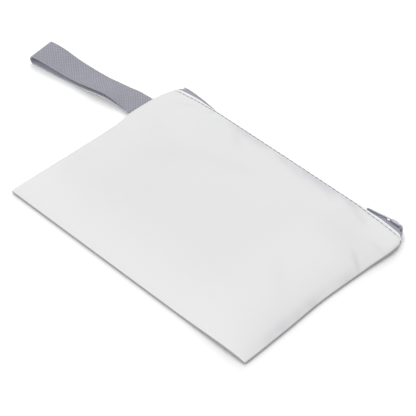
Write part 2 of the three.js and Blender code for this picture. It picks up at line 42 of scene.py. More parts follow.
# Sizes of the pouch, as in the frame
LENGTH = 255.0
DEPTH = 178.4
CLOTH = 1.0  # wall of both panels in the frame
GAP = 0.25  # between layers that are sewn together
CROWN = 9.6
MOUTH_HEIGHT = 10.8
SEAM_FLAT = 2.5
SWELL_REACH = 58.0  # how far in from a seam the top panel is still rising
MOUTH_REACH = 60.0  # how far in from the mouth it leaves its crown's height
CORNER = 1.5
RIM = 2.0
RIM_TILT = math.radians(66)
TAPE = 1.0
TAPE_TUCK = 6.5
TAPE_EASE = 0.1
TAPE_INSET = 1.0
COIL_WIDTH = 4.5
COIL_THICK = 1.4
COIL_GAP = 0.28
COIL_INSET = 2.5
TAPE_MEET = 0.15  # half of the slit between the two tapes
BEND_UP = 2.9  # from the coil's centre line to the bend in the upper tape
BEND_DOWN = 2.3  # the same for the lower tape
SLIDER_INSET = 8.9  # from the right edge's line to the slider's front end
WEB_WIDTH = 25.0
WEB = 1.2
LOOP_REACH = 110.5
LOOP_HEIGHT = 9.0
LOOP_INSET = 37.2
LOOP_TUCK = 8.0  # webbing caught inside the seam

HALF = LENGTH / 2
MID = DEPTH / 2
LOOP_ROOT = MID - LOOP_INSET
SEAM_STACK = 2 * CLOTH + GAP
ZIP_STACK = 2 * CLOTH + 2 * TAPE + 3 * GAP + TAPE_EASE
LOOP_STACK = 2 * CLOTH + 2 * WEB + 3 * GAP
ROOT_LOW = (CLOTH + GAP) / LOOP_HEIGHT
ROOT_TOP = (CLOTH + 2 * GAP + 2 * WEB) / LOOP_HEIGHT

# Sizes that only show here
FABRIC = 0.45  # the panels' cloth, folded double at the hems
SEAM_ROLL = 1.5  # how far in from a seam the cloth rolls over
SEAM_SLIT = 0.2  # half of the slit between the two panels at the seam
SEAM_STEP = 0.5  # how much further in the back panel is folded than the top panel
SEAM_FOLD = 8.0  # how far in from a seam that can be seen
HEM_BEND = 0.5  # radius of the folded edge
HEM_BACK = 1.6  # how far the hem runs back under itself
HEM_PUFF = 0.3  # how far the doubled hem bulges between its stitches and its fold
STITCH_PITCH = 4.6
STITCH_LENGTH = 3.4
THREAD = 0.3  # radius of the sewing thread
RIGHT_BULGE = 2.4  # how much fuller the panel is beside its right edge
BULGE_RISE = 7  # how far in from that edge the bulge rises
BULGE_FALL = (14, 75)  # from where to where it falls again
GROOVE_DEPTH = 0.5  # the groove that the stitches press into the cloth
GROOVE_WIDTH = 0.6
HEM_ROWS = 12  # steps over the hem's outer face
HEM_TURNS = 8  # steps round its folded edge
HEM_RETURN = 6  # steps back under it
HEM_GATHER = 2.2  # how many times wider than a seam's the roll at the hem's ends is
HEM_CLOTH = 0.25  # flat cloth to each of its steps
FLOOR_GAP = 0.02  # the back panel's height over the floor
BACK_TURNS = 6  # steps round the back panel's folded edge
BACK_RETURNS = 3  # steps back over it
BACK_RETURN = 0.6  # length of each
BACK_CLOTH = 0.3  # flat cloth to each step of the back hem
BACK_GROOVE = 0.3  # how far its stitches lift the cloth off the floor
BACK_STITCH_Z = 0.26  # height of its stitches
BACK_LAYER = 0.05  # distance between its rows where it ends at a short seam
BACK_CLOSE = 4.0  # length over which it closes there
STITCH_LIFT = 0.16  # how far the top hem's stitches stand out of their groove
STITCH_FREE = 8.0  # length of the mouth without stitches, both ends together
STITCH_SPAN = 0.965  # share of the mouth that the row of stitches spans
STITCH_SLANT = 0.12  # how unevenly the stitches slant
STITCH_DIVE = 0.25  # how far a stitch's ends dip into the cloth
THREAD_FLAT = 0.8  # the thread's height as a share of its width
TAPE_WALL = 0.6  # the tapes' own thickness
TAPE_STEPS = 30  # steps across a tape
TAPE_COVERED = 0.45  # share of a tape's width that lies under its hem
UPPER_DROP = 12.0  # about how far the upper tape runs past the stitches
LOWER_RISE = 10.0  # the same for the lower tape
TAPE_PRESS = 6.0  # length over which the two tapes come together at each end
TAPE_APART = 0.34  # half the distance between the tapes there
TAPE_ARCH = 0.8  # how far they arch up past the hem there
COIL_WIRE = 0.36
COIL_PITCH = 1.5
COIL_HOLD = 4.3  # from the slider's front end to the coil's end inside it
COIL_MESH = 0.08  # how far each half of the coil reaches past the middle
SLIDER_EDGE = 0.22  # rounding of the slider's edges
PULL_EDGE = 0.16  # rounding of the pull's edges
WEB_ROWS = 56  # steps across the webbing
WEB_STEP = 0.5  # steps along it
RIB = 1.4  # pitch of the webbing's weave, both ways
RIB_HEIGHT = 0.1
SELVEDGE = 1.2  # how wide the webbing's smooth edges are
EDGE_STEP = 0.2  # the first step in from a cloth's edge
UNSEEN = 9.0  # a distance from a seam at which its painted seam shade no longer shows

# Heights of the top panel's loose cloth
SLACK = 0.35
CREASE = 0.12
PUCKER = 0.5

# Fine patterns of the materials, in radians to a metre
CLOTH_WEAVE = 9000
THREAD_TWIST = 9000
THREAD_RISE = 6000
TAPE_BONE = 4200
TAPE_WEAVE = 7800

# The flat cloth of the panels, from the long seam to the stitches
BODY_LENGTH = DEPTH - 7
BACK_BODY = BODY_LENGTH - 3

# The light tent: its strength, and how much stronger its middle band is
TENT_TOP = 0.85
TENT_BAND = 0.55

# The photograph's place and lens, in degrees, metres and millimetres
VIEW_TURN = math.radians(45.2307)
VIEW_RISE = math.radians(43.4156)
VIEW_AWAY = 1.61475
VIEW_TARGET = (-0.006998, 0.007709, 0)
FOCAL_LENGTH = 179.57
SENSOR_WIDTH = 36


def rows_of(columns, *rows):
    """A table's rows, each with its values under the names of the columns."""
    return [dict(zip(columns.split(), row)) for row in rows]


# The short edges. y is a share of half the depth, left and right are shares of half the length.
SIDES = rows_of(
    "y left right",
    (-1.0, 1.008, 1.008),
    (-0.88, 1.007, 1.006),
    (-0.5, 1.005, 0.996),
    (0.0, 1.002, 0.98),
    (0.5, 1.007, 0.989),
    (0.8, 1.001, 1.001),
    (0.89, 0.988, 0.997),
    (0.94, 0.979, 0.979),
    (1.0, 0.97, 0.962),
    (1.07, 0.95, 0.948),
)

# The mouth, from the left end of the zip to the right, in the same shares as the frame's.
MOUTH = rows_of(
    "across edge rise tilt face lift under",
    (-1.0, 0.966, 0.0, 0.0, 1.01, 0.6, 0.966),
    (-0.98, 0.976, 0.02, 0.0, 1.025, 0.6, 0.972),
    (-0.94, 0.986, 0.09, 0.06, 1.032, 0.58, 0.98),
    (-0.83, 0.989, 0.38, 0.34, 1.024, 0.62, 0.972),
    (-0.7, 0.974, 0.74, 0.72, 1.004, 0.64, 0.952),
    (-0.56, 0.962, 0.97, 0.98, 0.979, 0.58, 0.932),
    (-0.3, 0.961, 1.0, 1.0, 0.976, 0.58, 0.928),
    (0.3, 0.961, 1.0, 1.0, 0.976, 0.58, 0.928),
    (0.54, 0.962, 0.97, 0.96, 0.978, 0.58, 0.932),
    (0.67, 0.97, 0.68, 0.6, 0.989, 0.66, 0.946),
    (0.77, 0.97, 0.4, 0.16, 1.006, 0.8, 0.956),
    (0.85, 0.965, 0.3, 0.02, 1.022, 0.87, 0.962),
    (0.98, 0.956, 0.12, 0.0, 1.022, 0.87, 0.954),
    (1.0, 0.954, 0.0, 0.0, 1.014, 0.78, 0.952),
)

# The hem along the mouth: how far its stitches lie from the frame's line, how wide it is past
# them, and how much of the frame's tilt it takes.
HEM = rows_of(
    "across shift wide lean",
    (-1.0, -0.5, 1.3, 1.0),
    (-0.97, -0.65, 2.9, 0.9),
    (-0.86, -1.1, 3.8, 0.6),
    (-0.72, -0.7, 3.5, 0.6),
    (-0.56, 0.0, 3.4, 0.9),
    (0.54, 0.0, 3.4, 0.95),
    (0.67, 0.6, 3.2, 0.7),
    (0.76, 1.15, 3.1, 1.0),
    (0.88, 1.45, 3.1, 1.0),
    (0.96, 1.3, 3.1, 1.0),
    (0.98, 1.15, 2.9, 1.0),
    (1.0, 0.9, 1.3, 1.0),
)

# The wrist loop from the seam to its far end, in the same shares as the frame's.
LOOP = rows_of(
    "out side near_low far_low near_top far_top",
    (0, 0, ROOT_LOW, ROOT_LOW, ROOT_TOP, ROOT_TOP),
    (0.11, -0.02, 0.2, 0.06, 0.6, 0.38),
    (0.2, -0.07, 0.34, 0.0, 0.88, 0.3),
    (0.3, -0.14, 0.41, 0.0, 1.04, 0.3),
    (0.39, -0.21, 0.32, 0.0, 0.98, 0.3),
    (0.49, -0.26, 0.17, 0.0, 0.82, 0.31),
    (0.61, -0.31, 0.05, 0.0, 0.74, 0.38),
    (0.72, -0.37, 0.0, 0.0, 0.82, 0.56),
    (0.83, -0.43, 0.0, 0.0, 0.95, 0.86),
    (0.9, -0.47, 0.0, 0.0, 0.99, 0.96),
    (1, -0.53, 0, 0, 1, 1),
)

# Dents and ripples of the top panel. across as above, back: millimetres in from the stitch line,
# long and wide: half sizes in millimetres, turn: degrees from the mouth's line, deep: millimetres.
DENTS = rows_of(
    "across back long wide turn deep",
    (-0.79, 46.0, 22.0, 10.0, 30, 0.1),
    (-0.78, 9.0, 12.0, 4.0, -30, 0.2),
    (-0.62, 4.0, 6.0, 2.2, -35, 0.25),
    (-0.33, 9.0, 13.0, 4.0, 40, 0.3),
    (-0.24, 4.0, 16.0, 4.0, 4, 0.3),
    (-0.17, 37.0, 24.0, 6.0, -18, 0.14),
    (0.02, 4.0, 14.0, 3.4, 6, 0.4),
    (0.16, 6.0, 13.0, 3.6, 12, 0.35),
    (0.3, 3.0, 20.0, 5.0, 3, 0.6),
    (0.42, 6.0, 10.0, 3.0, 16, 0.3),
    (0.57, 3.0, 10.0, 2.6, 6, 0.4),
    (0.69, 8.0, 10.0, 2.6, 19, 0.45),
    (0.77, 31.0, 30.0, 18.0, 0, 0.3),
    (0.945, 21.4, 7.0, 2.2, 0, 0.4),
    (0.94, 44.0, 10.0, 2.0, 30, 0.7),
    (0.995, 59.0, 9.0, 4.5, 86, 0.6),
    (1.0, 104.0, 60.0, 6.0, 90, 0.6),
    (0.985, 97.0, 7.0, 4.5, 96, 0.5),
    (0.99, 113.0, 6.0, 4.0, 88, 0.4),
    (0.98, 130.0, 8.0, 4.5, 94, 0.5),
    (0.985, 145.0, 6.0, 4.0, 90, 0.4),
    (0.72, 100.0, 24.0, 7.0, 45, 0.15),
    (-0.52, 62.0, 28.0, 14.0, -40, 0.15),
    (-0.9, 120.0, 26.0, 7.0, 62, 0.1),
)


def lerp(a, b, t):
    return a + (b - a) * t


def clamp(value):
    return max(0.0, min(1.0, value))


def ease(value, low, high):
    t = clamp((value - low) / (high - low))
    return t * t * (3 - 2 * t)


def follow(table, key, column, at):
    """A column's value at a place, through the rows on a smooth curve that doesn't overshoot."""
    last = len(table) - 1
    i = 0
    while i < last - 1 and at > table[i + 1][key]:
        i += 1

    def slope(j):
        return (table[j + 1][column] - table[j][column]) / (table[j + 1][key] - table[j][key])

    def tangent(j):
        if j == 0:
            return slope(0)
        if j == last:
            return slope(last - 1)
        before, after = slope(j - 1), slope(j)
        return 0.0 if before * after <= 0 else 2 * before * after / (before + after)

    span = table[i + 1][key] - table[i][key]
    t = clamp((at - table[i][key]) / span)
    rising = t * t * (3 - 2 * t)
    first = t * (1 - t) ** 2 * span * tangent(i)
    second = t * t * (t - 1) * span * tangent(i + 1)
    return lerp(table[i][column], table[i + 1][column], rising) + first + second


def across_x(across, y):
    """X at a depth y, by its share across: -1 is the left short edge and 1 the right one."""
    return across * HALF * follow(SIDES, "y", "left" if across < 0 else "right", y / MID)


def side_of(across):
    return -1 if across < 0 else 1


def in_from_side(across, x, y):
    """How far in from its short seam a place lies."""
    return abs(across_x(side_of(across), y) - x)


def seam_y(across):
    """Y of the long seam, with its two corners rounded."""
    into = max(0.0, abs(across) * HALF - (HALF - CORNER)) / CORNER
    return -MID + CORNER * (1 - math.sqrt(1 - min(1.0, into) ** 2))


def down(angle, length):
    """A step of a given length in the YZ plane, outwards and turned down by an angle."""
    return Vector((length * math.cos(angle), -length * math.sin(angle)))


@functools.lru_cache(maxsize=None)
def mouth_at(across):
    """The mouth's sizes at a place along the zip."""
    read = {c: follow(MOUTH, "across", c, across) for c in MOUTH[0] if c != "across"}
    tilt = RIM_TILT * read["tilt"]
    back = RIM / 2 * (math.cos(0.6 * tilt) + math.cos(tilt))
    shift = follow(HEM, "across", "shift", across)
    height = lerp(ZIP_STACK, MOUTH_HEIGHT, read["rise"])
    return {
        "tilt": tilt * follow(HEM, "across", "lean", across),
        "stitch": Vector((MID * read["edge"] - back + shift, height)),
        "hem": follow(HEM, "across", "wide", across),
        "face_y": MID * read["face"],
        "coil_z": COIL_WIDTH * read["lift"],
        "under_y": MID * read["under"],
    }


def stack_height(side, y):
    """Height of the stacked layers at the short seams, where the loop and the zip are caught."""
    zip_here = ease(y, 0.74 * MID, 0.86 * MID)
    near = LOOP_ROOT - WEB_WIDTH / 2
    loop_here = ease(y, near - 0.6 * WEB_WIDTH, near - 0.15 * WEB_WIDTH)
    plain = lerp(SEAM_STACK, ZIP_STACK, zip_here)
    if side > 0:
        return plain
    return lerp(plain, lerp(LOOP_STACK, ZIP_STACK, zip_here), loop_here)


def edge_height(side, y):
    """Height where the top cloth ends at its seam: over the back panel, or over the caught loop."""
    closed = SEAM_STACK / 2 + SEAM_SLIT
    if side > 0:
        return closed
    near, far = LOOP_ROOT - WEB_WIDTH / 2, LOOP_ROOT + WEB_WIDTH / 2
    over_loop = ease(y, near - 5, near - 0.5) * (1 - ease(y, far + 0.5, far + 5))
    return closed + (LOOP_STACK - SEAM_STACK) * over_loop


def swell(distance):
    """Rise of the top panel at a distance in from a seam, from 0 at the seam to 1."""
    t = clamp((distance - SEAM_FLAT) / SWELL_REACH)
    return 1 - (1 - t) ** 3


def roll(distance):
    """How far the cloth has come round the edge of a turned seam, from 0 at the seam to 1."""
    t = clamp(distance / SEAM_ROLL)
    return math.sqrt(1 - (1 - t) ** 2)


def dented(across, back):
    """How deep the dents are at a place, and the height that they and their rims add."""
    depth = height = 0.0
    for dent in DENTS:
        dx = (across - dent["across"]) * HALF
        dy = back - dent["back"]
        turn = math.radians(dent["turn"])
        along = (dx * math.cos(turn) + dy * math.sin(turn)) / dent["long"]
        aside = (dy * math.cos(turn) - dx * math.sin(turn)) / dent["wide"]
        spread = along * along + aside * aside
        if spread < 9:
            deep = dent["deep"] * math.exp(-spread)
            depth += deep
            height -= deep * (1 - 0.6 * aside * aside)
    return depth, height


def relief(x, y, across, back):
    """Height that the cloth's dents, ripples and slack add to the top panel."""
    slack = noise.noise(Vector((x / 60, y / 45, 3.7)))
    crease = noise.noise(Vector((x / 17 + 0.3 * y / 17, y / 26, 8.1)))
    pucker = noise.noise(Vector((x / 5.5, back / 16, 5.2))) * math.exp(-back / 7)
    return dented(across, back)[1] + SLACK * slack + CREASE * crease + PUCKER * pucker


def top_point(across, up):
    """A point of the top panel's outer face. up is 0 at the long seam and 1 at the stitches."""
    side = side_of(across)
    mouth = mouth_at(across)
    y = lerp(seam_y(across), mouth["stitch"].x, up)
    x = across_x(across, y)
    from_side = in_from_side(across, x, y)
    from_seam = y - seam_y(across)
    crown = lerp(SEAM_STACK, CROWN, swell(y + MID))
    stack = stack_height(side, y)
    body = lerp(stack, crown, swell(from_side))
    opened = ease(y, mouth["stitch"].x - MOUTH_REACH, mouth["stitch"].x)
    z = lerp(body, max(stack, mouth["stitch"].y), opened)
    back = mouth["stitch"].x - y
    inside = ease(min(from_side, from_seam), 2, 14)
    z += relief(x, y, across, back) * inside * lerp(1, 0.4, ease(3 - back, 0, 3))
    if side > 0:
        bulge = (1 - math.exp(-from_side / BULGE_RISE)) * (1 - ease(from_side, *BULGE_FALL))
        z += RIGHT_BULGE * bulge * (1 - opened)
    groove = math.exp(-((back / GROOVE_WIDTH) ** 2))
    between = 0.5 - 0.5 * math.cos(2 * math.pi * x / STITCH_PITCH)
    z -= GROOVE_DEPTH * groove * (0.7 + 0.3 * between)
    return Vector((x, y, lerp(edge_height(side, y), z, roll(from_side) * roll(from_seam))))


def graded(length, first, widest, last):
    """Places from 0 to a length, whose steps grow from the first to the widest and shrink again."""
    steps = []
    total = 0.0
    growing = first
    while total < length:
        left = length - total
        shrunk = last + 0.2 * left
        step = min(growing, widest, shrunk)
        steps.append(step)
        total += step
        growing *= 1.25
    places = [0.0]
    for step in steps:
        places.append(places[-1] + step)
    return [p * length / places[-1] for p in places]


@functools.lru_cache(maxsize=None)
def hem_path(across):
    """The hem's line past the stitches: over the rim, round the folded edge and back under it."""
    mouth = mouth_at(across)
    tilt = mouth["tilt"]
    point = mouth["stitch"]
    run = mouth["hem"] - HEM_BEND
    under = HEM_BACK * min(1.0, run / 2)
    sink = GROOVE_DEPTH * 0.85
    stride = run / HEM_ROWS
    path = []

    def lean(s):
        return tilt * lerp(0.35, 1.05, ease(s, 0, 1.4))

    for i in range(1, HEM_ROWS + 1):
        s = run * i / HEM_ROWS
        point = point + down(lean(s - stride / 2), stride)
        groove = sink * math.exp(-((s / GROOVE_WIDTH) ** 2))
        puff = HEM_PUFF * math.sin(math.pi * s / run)
        path.append(point - Vector((0, groove - puff)))
    for i in range(HEM_TURNS):
        angle = lean(run) + math.pi * (i + 0.5) / HEM_TURNS
        point = point + down(angle, math.pi * HEM_BEND / HEM_TURNS)
        path.append(point)
    for i in range(HEM_RETURN):
        s = run - under * (i + 0.5) / HEM_RETURN
        point = point + down(lean(s) + math.pi, under / HEM_RETURN)
        path.append(point)
    return path


def cloth_grid(name, columns, rows, place, material, flip=False):
    """A piece of cloth: a grid whose vertices are set by place(column, row), with its own UV map.

    place gives the vertex and its place on the flat cloth, and for a panel also how far in from a
    seam it is and how deep a dent it lies in, all in millimetres."""
    bm = bmesh.new()
    bmesh.ops.create_grid(bm, x_segments=columns - 1, y_segments=rows - 1, size=0.5)
    names = ("from_seam", "hollow")
    layers = [bm.verts.layers.float.new(mark) for mark in names]
    flat = {}
    for vert in bm.verts:
        column = round((vert.co.x + 0.5) * (columns - 1))
        row = round((vert.co.y + 0.5) * (rows - 1))
        point, cloth, *marks = place(column, row)
        vert.co = Vector(point) * MM
        for layer, mark in zip(layers, marks):
            vert[layer] = mark
        flat[vert] = Vector(cloth) * MM
    chart = bm.loops.layers.uv.new("cloth")
    for face in bm.faces:
        for loop in face.loops:
            loop[chart].uv = flat[loop.vert]
    if flip:
        bmesh.ops.reverse_faces(bm, faces=bm.faces[:])
    return finished(bm, name, material)


def finished(bm, name, material):
    """Makes a bmesh a smooth shaded object of the scene."""
    for face in bm.faces:
        face.smooth = True
    mesh = bpy.data.meshes.new(name)
    bm.to_mesh(mesh)
    bm.free()
    mesh.materials.append(material)
    piece = bpy.data.objects.new(name, mesh)
    bpy.context.scene.collection.objects.link(piece)
    return piece


def thicken(piece, thickness, offset=-1.0):
    """Gives a sheet its thickness: inwards from its face, or to both sides with offset 0."""
    wall = piece.modifiers.new("wall", "SOLIDIFY")
    wall.thickness = thickness * MM
    wall.offset = offset
    return piece


class Shade:
    """A socket of a material's nodes. Arithmetic on it adds Math nodes."""

    def __init__(self, tree, socket):
        self.tree = tree
        self.socket = socket

    def maths(self, operation, *values):
        node = self.tree.nodes.new("ShaderNodeMath")
        node.operation = operation
        for place, value in zip(node.inputs, values):
            if isinstance(value, Shade):
                self.tree.links.new(value.socket, place)
            else:
                place.default_value = value
        return Shade(self.tree, node.outputs[0])

    def __add__(self, other):
        return self.maths("ADD", self, other)

    def __radd__(self, other):
        return self.maths("ADD", other, self)

    def __sub__(self, other):
        return self.maths("SUBTRACT", self, other)

    def __rsub__(self, other):
        return self.maths("SUBTRACT", other, self)

    def __mul__(self, other):
        return self.maths("MULTIPLY", self, other)

    def sine(self):
        return self.maths("SINE", self)

    def size(self):
        return self.maths("ABSOLUTE", self)


class Nodes:
    """The nodes of a material or of the room's light."""

    def __init__(self, tree):
        self.tree = tree

    def node(self, kind, settings=None, output=0, **inputs):
        """Adds a node, sets its settings, then its inputs, and gives one of its outputs."""
        node = self.tree.nodes.new("ShaderNode" + kind)
        for key, value in (settings or {}).items():
            setattr(node, key, value)
        for key, value in inputs.items():
            place = node.inputs[key.replace("_", " ")]
            if isinstance(value, Shade):
                self.tree.links.new(value.socket, place)
            else:
                place.default_value = value
        return Shade(self.tree, node.outputs[output])

    def parts(self, vector):
        """The three parts of a vector."""
        node = self.tree.nodes.new("ShaderNodeSeparateXYZ")
        self.tree.links.new(vector.socket, node.inputs[0])
        return [Shade(self.tree, out) for out in node.outputs]

    def step(self, value, low, high):
        """0 below low and 1 above high, with a smooth change between."""
        settings = {"interpolation_type": "SMOOTHSTEP"}
        places = {"From_Min": low, "From_Max": high}
        return self.node("MapRange", settings, Value=value, **places)


class Finish(Nodes):
    """A node material on one Principled shader."""

    def __init__(self, name):
        self.material = bpy.data.materials.new(name)
        self.material.use_nodes = True
        super().__init__(self.material.node_tree)
        self.shader = self.tree.nodes["Principled BSDF"]

    def place(self, chart=None):
        """Object coordinates, or the piece's own UV map."""
        if chart:
            return self.node("UVMap", {"uv_map": chart})
        return self.node("TexCoord", output="Object")

    def noise(self, vector, scale, detail=2.0, rough=0.5):
        return self.node("TexNoise", Vector=vector, Scale=scale, Detail=detail, Roughness=rough)

    def blend(self, amount, low, high):
        """A colour between two, by an amount from 0 to 1."""
        node = self.tree.nodes.new("ShaderNodeMix")
        node.data_type = "RGBA"
        node.clamp_factor = True
        self.tree.links.new(amount.socket, node.inputs["Factor"])
        for key, value in (("A", low), ("B", high)):
            place = next(s for s in node.inputs if s.name == key and s.type == "RGBA")
            if isinstance(value, Shade):
                self.tree.links.new(value.socket, place)
            else:
                place.default_value = (*value, 1)
        return Shade(self.tree, next(s for s in node.outputs if s.type == "RGBA"))

    def set(self, **inputs):
        for key, value in inputs.items():
            place = self.shader.inputs[key.replace("_", " ")]
            if isinstance(value, Shade):
                self.tree.links.new(value.socket, place)
            else:
                place.default_value = (*value, 1) if isinstance(value, tuple) else value

    def bump(self, height, distance, strength=1.0):
        self.set(Normal=self.node("Bump", Strength=strength, Distance=distance, Height=height))


def woven_white():
    """Smooth white polyester in a fine plain weave, a little uneven, whiter where it is doubled,
    with painted light and painted shade.
    """
    finish = Finish("white_polyester")
    x, y, _ = finish.parts(finish.place("cloth"))
    weave = (x * CLOTH_WEAVE).sine() * (y * CLOTH_WEAVE).sine()
    cloudy = finish.noise(finish.place(), 14, 3)
    grain = finish.noise(finish.place(), 900, 2)
    uneven = cloudy * 0.9 + grain * 0.1
    plain = finish.blend(uneven, (0.672, 0.672, 0.68), (0.696, 0.696, 0.696))
    # Painted light: the cloth is lighter along the long seam, fading out from 10 to 60 mm in from
    # it.
    painted_light_fade = finish.step(y, 0.01, 0.06)
    # Painted light: the cloth is lighter towards the right end, from 40 to 110 mm right of the
    # middle.
    right = finish.step(x, 0.04, 0.11)
    fuller = finish.blend(right * 0.4, plain, (0.74, 0.74, 0.74))
    with_painted_light = finish.blend(painted_light_fade, (0.712, 0.712, 0.712), fuller)
    stitched = BODY_LENGTH * MM
    doubled = finish.step(y, stitched, stitched + 0.0005)
    # Painted shade: a darker line along the stitch groove, within 0.2 to 0.6 mm of the stitch line.
    pressed = 1 - finish.step((y - stitched).size(), 0.0002, 0.0006)
    # Painted shade: darker patches over the tape's tuck, along the middle of the mouth.
    over_tape = finish.step(y, (BODY_LENGTH - 7.5) * MM, (BODY_LENGTH - 1.5) * MM)
    middle = finish.step(x, -0.075, -0.045) * (1 - finish.step(x, 0.07, 0.095))
    painted_shade_patches = over_tape * middle * finish.step(finish.noise(finish.place(), 38, 2), 0.36, 0.6)
    shaded = finish.blend(painted_shade_patches * 0.6, with_painted_light, (0.57, 0.57, 0.6))
    hem = finish.blend(doubled, shaded, (0.75, 0.75, 0.76))
    # Painted shade in the dents: darker where they are deeper.
    hollow = finish.node("Attribute", {"attribute_name": "hollow"}, output=2)
    with_painted_dent_shade = finish.blend(hollow * 0.55, hem, (0.5, 0.5, 0.53))
    # The painted shade of the stitch groove goes on here.
    cloth = finish.blend(pressed, with_painted_dent_shade, (0.5, 0.5, 0.51))
    # Painted shade: dark cloth within 0.1 to 0.6 mm of a seam, for the shade in the slit between
    # the panels.
    from_seam = finish.node("Attribute", {"attribute_name": "from_seam"}, output=2)
    tone = finish.blend(finish.step(from_seam, 0.1, 0.6), (0.35, 0.35, 0.36), cloth)
    finish.set(Base_Color=tone, Roughness=0.52 + cloudy * 0.12)
    finish.set(Sheen_Weight=0.12, Sheen_Roughness=0.4)
    finish.bump(weave * 0.5 + grain * 0.5, 0.00002, 0.5)
    return finish.material


def sewing_thread():
    """Twisted grey sewing thread, darker still as painted shade of the groove that it lies in."""
    finish = Finish("grey_thread_painted_shade")
    x, y, z = finish.parts(finish.place())
    twist = ((x + y) * THREAD_TWIST + z * THREAD_RISE).sine()
    finish.set(Base_Color=finish.blend(twist * 0.5 + 0.5, (0.15, 0.15, 0.17), (0.27, 0.27, 0.3)))
    finish.set(Roughness=0.6)
    finish.bump(twist, 0.00004)
    return finish.material


def webbing():
    """Grey webbing: yarn bundles over and under each other, with painted light on the lower layer
    inside the loop.
    """
    finish = Finish("grey_webbing")
    x, y, _ = finish.parts(finish.place("cloth"))
    turn = math.pi / (RIB * MM)
    check = (x * turn).sine() * (y * turn).sine()
    yarn = (x * turn * 4).sine() * (y * turn * 4).sine()
    worn = finish.noise(finish.place(), 260, 3)
    tone = check * 0.34 + yarn * 0.18 + worn * 0.3 + 0.35
    top = finish.blend(tone, (0.18, 0.18, 0.222), (0.4, 0.4, 0.458))
    # Painted light: the lower layer, which lines the inside of the loop, is lighter than the top
    # layer.
    painted_light_lower = finish.blend(tone, (0.33, 0.33, 0.38), (0.58, 0.58, 0.64))
    past_lower_layer = finish.step(x, 0.112, 0.124)
    finish.set(Base_Color=finish.blend(past_lower_layer, painted_light_lower, top))
    finish.set(Roughness=0.82)
    finish.set(Sheen_Weight=0.15, Sheen_Roughness=0.5)
    finish.bump(check * 0.4 + yarn * 0.5 + worn * 0.3, 0.00014, 0.9)
    return finish.material


def zip_tape():
    """Grey woven zip tape with a fine herringbone."""
    finish = Finish("grey_zip_tape")
    x, y, _ = finish.parts(finish.place("cloth"))
    bone = ((x + y.size()) * TAPE_BONE).sine()
    across = (x * TAPE_WEAVE).sine() * (y * TAPE_WEAVE).sine()
    worn = finish.noise(finish.place(), 420, 2)
    tone = bone * 0.16 + across * 0.14 + worn * 0.4 + 0.3
    finish.set(Base_Color=finish.blend(tone, (0.23, 0.23, 0.275), (0.4, 0.4, 0.47)))
    finish.set(Roughness=0.8)
    finish.bump(bone * 0.5 + across * 0.5, 0.00008, 0.7)
    return finish.material


def coil_nylon():
    """Satin grey nylon of the zip's coil."""
    finish = Finish("grey_nylon")
    drawn = finish.noise(finish.place(), 700, 2)
    finish.set(Base_Color=finish.blend(drawn, (0.36, 0.36, 0.41), (0.46, 0.46, 0.52)))
    finish.set(Roughness=0.34 + drawn * 0.1)
    finish.bump(drawn, 0.00003, 0.5)
    return finish.material


def enamel():
    """Grey baked enamel on the die-cast slider and its pull."""
    finish = Finish("grey_enamel")
    cast = finish.noise(finish.place(), 380, 3)
    fine = finish.noise(finish.place(), 2600, 2)
    finish.set(Base_Color=finish.blend(cast, (0.4, 0.4, 0.45), (0.5, 0.5, 0.56)))
    finish.set(Roughness=0.3 + cast * 0.14, Metallic=0.1)
    finish.set(Coat_Weight=0.3, Coat_Roughness=0.2)
    finish.bump(cast * 0.6 + fine * 0.4, 0.00003, 0.5)
    return finish.material


WHITE = woven_white()
SEWING = sewing_thread()
WEBBING = webbing()
ZIP_TAPE = zip_tape()
NYLON = coil_nylon()
ENAMEL = enamel()


def across_columns(widest):
    """Places across from the left short edge to the right one, closer together at both."""
    return [-1 + p / HALF for p in graded(LENGTH, EDGE_STEP, widest, EDGE_STEP)]


def top_panel():
    """The panel that shows: one cloth from the long seam over the crown to the folded hem."""
    columns = across_columns(1.3)
    body = graded(BODY_LENGTH, EDGE_STEP, 1.4, 0.4)
    ups = [p / body[-1] for p in body]
    hem = HEM_ROWS + HEM_TURNS + HEM_RETURN

    def place(column, row):
        across = columns[column]
        if row < len(ups):
            point = top_point(across, ups[row])
            from_side = in_from_side(across, point.x, point.y)
            from_seam = min(from_side, point.y - seam_y(across))
            depth = dented(across, mouth_at(across)["stitch"].x - point.y)[0]
            return point, (point.x, body[row]), from_seam, depth
        step = row - len(ups)
        y, z = hem_path(across)[step]
        point = Vector((across_x(across, y), y, z))
        from_side = in_from_side(across, point.x, y)
        gathered = lerp(1, HEM_GATHER, min(1.0, (step + 1) / 6))
        point.z = lerp(edge_height(side_of(across), y), point.z, roll(from_side / gathered))
        return point, (point.x, body[-1] + (step + 1) * HEM_CLOTH), from_side, 0.0

    piece = cloth_grid("top_cloth", len(columns), len(ups) + hem, place, WHITE)
    return thicken(piece, FABRIC)


